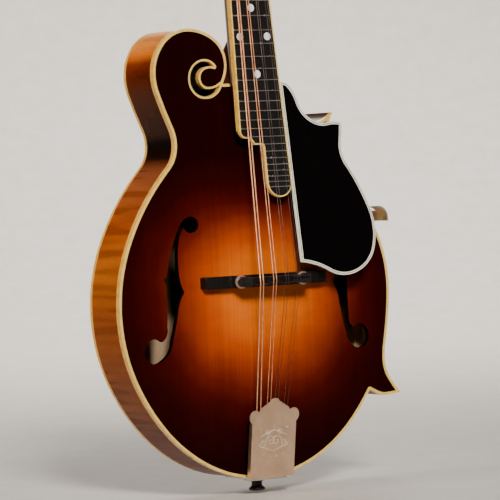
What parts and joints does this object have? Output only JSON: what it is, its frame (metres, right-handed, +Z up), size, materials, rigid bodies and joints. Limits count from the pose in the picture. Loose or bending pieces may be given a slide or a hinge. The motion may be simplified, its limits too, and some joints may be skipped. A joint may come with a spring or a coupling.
{
  "type": "mandolin",
  "caption": "Carved acoustic mandolin with a scrolled body, violin-style sound holes, floating adjustable bridge, sliding tailpiece cover, clamped pickguard and geared tuners.",
  "frame": {"origin": "outside of the tail on the centreline, half way between the top and the back edge of the rim", "axes": "+Z up the neck towards the headstock, -Y out of the soundboard, +X towards the treble side"},
  "size_m": [0.2584, 0.1225, 0.6863],
  "materials": {
    "black_veneer": "gloss",
    "bone": "polished bone",
    "brass": "polished",
    "bronze_string": "wound phosphor bronze",
    "button_white": "pearloid",
    "cream_binding": "polished",
    "ebony": "oiled",
    "fret_metal": "polished nickel silver",
    "guard_black": "gloss celluloid",
    "guard_edge": "laminated edge",
    "maple_neck": "gloss lacquer",
    "maple_sunburst": "gloss lacquer, flamed maple",
    "nickel": "satin nickel plate",
    "pearl": "polished shell",
    "plain_string": "drawn wire",
    "raw_wood": "sawn, unfinished",
    "spruce_sunburst": "gloss lacquer, sunburst",
    "steel": "machined"
  },
  "bodies": {
    "instrument": {"soundboard": "spruce_sunburst", "back_plate": "maple_sunburst", "bass_rib": "maple_sunburst", "treble_lower_rib": "maple_sunburst", "treble_middle_rib": "maple_sunburst", "treble_upper_rib": "maple_sunburst", "tail_block": "raw_wood", "scroll_block": "raw_wood", "neck_block": "raw_wood", "point_blocks": "raw_wood", "linings": "raw_wood", "tone_bars": "raw_wood", "top_binding": "cream_binding", "back_binding": "cream_binding", "neck": "maple_neck", "heel_cap": "ebony", "truss_rod": "steel", "truss_cover": "black_veneer", "head_veneer": "black_veneer", "head_binding": "cream_binding", "wood_screws": "nickel", "nut": "bone", "fingerboard": "ebony", "board_binding": "cream_binding", "frets": "fret_metal", "position_markers": "pearl", "tuner_plate_bass": "nickel", "tuner_plate_treble": "nickel", "bushings": "nickel", "strings_wound": "bronze_string", "strings_plain": "plain_string", "bridge_base": "ebony", "bridge_posts": "nickel", "tailpiece_base": "nickel", "end_pin": "ebony", "pickguard": "guard_black", "pickguard_edge": "guard_edge", "pickguard_bracket": "nickel"},
    "saddle": {"bridge_saddle": "ebony"},
    "wheel_bass": {"thumbwheel_bass": "brass"},
    "wheel_treble": {"thumbwheel_treble": "brass"},
    "cover": {"tailpiece_cover": "nickel"},
    "truss_adjuster": {"truss_nut": "brass"},
    "guard_clamp_screw": {"bracket_screw": "nickel"},
    "worm_1": {"tuner_shaft_1": "button_white"},
    "post_1": {"tuner_post_1": "nickel"},
    "worm_2": {"tuner_shaft_2": "button_white"},
    "post_2": {"tuner_post_2": "nickel"},
    "worm_3": {"tuner_shaft_3": "button_white"},
    "post_3": {"tuner_post_3": "nickel"},
    "worm_4": {"tuner_shaft_4": "button_white"},
    "post_4": {"tuner_post_4": "nickel"},
    "worm_5": {"tuner_shaft_5": "button_white"},
    "post_5": {"tuner_post_5": "nickel"},
    "worm_6": {"tuner_shaft_6": "button_white"},
    "post_6": {"tuner_post_6": "nickel"},
    "worm_7": {"tuner_shaft_7": "button_white"},
    "post_7": {"tuner_post_7": "nickel"},
    "worm_8": {"tuner_shaft_8": "button_white"},
    "post_8": {"tuner_post_8": "nickel"}
  },
  "joints": [
    {"name": "saddle_lift", "type": "slide", "parent": "instrument", "child": "saddle", "axis": [0, -1, 0], "range_m": [-0.001, 0]},
    {"name": "thumbwheel_bass_turn", "type": "hinge", "parent": "saddle", "child": "wheel_bass", "pos_m": [-0.0285, -0.0426, 0.1525], "axis": [0, -1, 0], "range_deg": [-514.3, 0]},
    {"name": "thumbwheel_treble_turn", "type": "hinge", "parent": "saddle", "child": "wheel_treble", "pos_m": [0.0285, -0.0426, 0.1525], "axis": [0, -1, 0], "range_deg": [-514.3, 0]},
    {"name": "tailpiece_cover_slide", "type": "slide", "parent": "instrument", "child": "cover", "axis": [0, 0.1461, -0.9893], "range_m": [0, 0.09]},
    {"name": "truss_nut_turn", "type": "hinge", "parent": "instrument", "child": "truss_adjuster", "pos_m": [0, -0.00424, 0.52065], "axis": [0, 0.0983, 0.9952], "range_deg": [-180, 180]},
    {"name": "clamp_screw_turn", "type": "hinge", "parent": "instrument", "child": "guard_clamp_screw", "pos_m": [0.118, -0.0135, 0.1965], "axis": [1, 0, 0], "range_deg": [-360, 0]},
    {"name": "button_turn_1", "type": "hinge", "parent": "instrument", "child": "worm_1", "pos_m": [-0.017, 0.02222, 0.55072], "axis": [1, 0, 0], "continuous": true},
    {"name": "post_turn_1", "type": "hinge", "parent": "instrument", "child": "post_1", "pos_m": [-0.017, 0.00196, 0.55064], "axis": [0, 0.9295, -0.3688], "continuous": true},
    {"name": "button_turn_2", "type": "hinge", "parent": "instrument", "child": "worm_2", "pos_m": [-0.017, 0.0307, 0.5721], "axis": [1, 0, 0], "continuous": true},
    {"name": "post_turn_2", "type": "hinge", "parent": "instrument", "child": "post_2", "pos_m": [-0.017, 0.01044, 0.57202], "axis": [0, 0.9295, -0.3688], "continuous": true},
    {"name": "button_turn_3", "type": "hinge", "parent": "instrument", "child": "worm_3", "pos_m": [-0.017, 0.03918, 0.59348], "axis": [1, 0, 0], "continuous": true},
    {"name": "post_turn_3", "type": "hinge", "parent": "instrument", "child": "post_3", "pos_m": [-0.017, 0.01892, 0.5934], "axis": [0, 0.9295, -0.3688], "continuous": true},
    {"name": "button_turn_4", "type": "hinge", "parent": "instrument", "child": "worm_4", "pos_m": [-0.017, 0.04766, 0.61486], "axis": [1, 0, 0], "continuous": true},
    {"name": "post_turn_4", "type": "hinge", "parent": "instrument", "child": "post_4", "pos_m": [-0.017, 0.0274, 0.61477], "axis": [0, 0.9295, -0.3688], "continuous": true},
    {"name": "button_turn_5", "type": "hinge", "parent": "instrument", "child": "worm_5", "pos_m": [0.017, 0.02222, 0.55072], "axis": [1, 0, 0], "continuous": true},
    {"name": "post_turn_5", "type": "hinge", "parent": "instrument", "child": "post_5", "pos_m": [0.017, 0.00196, 0.55064], "axis": [0, 0.9295, -0.3688], "continuous": true},
    {"name": "button_turn_6", "type": "hinge", "parent": "instrument", "child": "worm_6", "pos_m": [0.017, 0.0307, 0.5721], "axis": [1, 0, 0], "continuous": true},
    {"name": "post_turn_6", "type": "hinge", "parent": "instrument", "child": "post_6", "pos_m": [0.017, 0.01044, 0.57202], "axis": [0, 0.9295, -0.3688], "continuous": true},
    {"name": "button_turn_7", "type": "hinge", "parent": "instrument", "child": "worm_7", "pos_m": [0.017, 0.03918, 0.59348], "axis": [1, 0, 0], "continuous": true},
    {"name": "post_turn_7", "type": "hinge", "parent": "instrument", "child": "post_7", "pos_m": [0.017, 0.01892, 0.5934], "axis": [0, 0.9295, -0.3688], "continuous": true},
    {"name": "button_turn_8", "type": "hinge", "parent": "instrument", "child": "worm_8", "pos_m": [0.017, 0.04766, 0.61486], "axis": [1, 0, 0], "continuous": true},
    {"name": "post_turn_8", "type": "hinge", "parent": "instrument", "child": "post_8", "pos_m": [0.017, 0.0274, 0.61477], "axis": [0, 0.9295, -0.3688], "continuous": true}
  ],
  "couplings": [
    {"joint": "thumbwheel_bass_turn", "follows": "saddle_lift", "rad_per_m": 8976},
    {"joint": "thumbwheel_treble_turn", "follows": "saddle_lift", "rad_per_m": 8976},
    {"joint": "post_turn_1", "follows": "button_turn_1", "ratio": -0.066667},
    {"joint": "post_turn_2", "follows": "button_turn_2", "ratio": -0.066667},
    {"joint": "post_turn_3", "follows": "button_turn_3", "ratio": -0.066667},
    {"joint": "post_turn_4", "follows": "button_turn_4", "ratio": -0.066667},
    {"joint": "post_turn_5", "follows": "button_turn_5", "ratio": -0.066667},
    {"joint": "post_turn_6", "follows": "button_turn_6", "ratio": -0.066667},
    {"joint": "post_turn_7", "follows": "button_turn_7", "ratio": -0.066667},
    {"joint": "post_turn_8", "follows": "button_turn_8", "ratio": -0.066667}
  ]
}
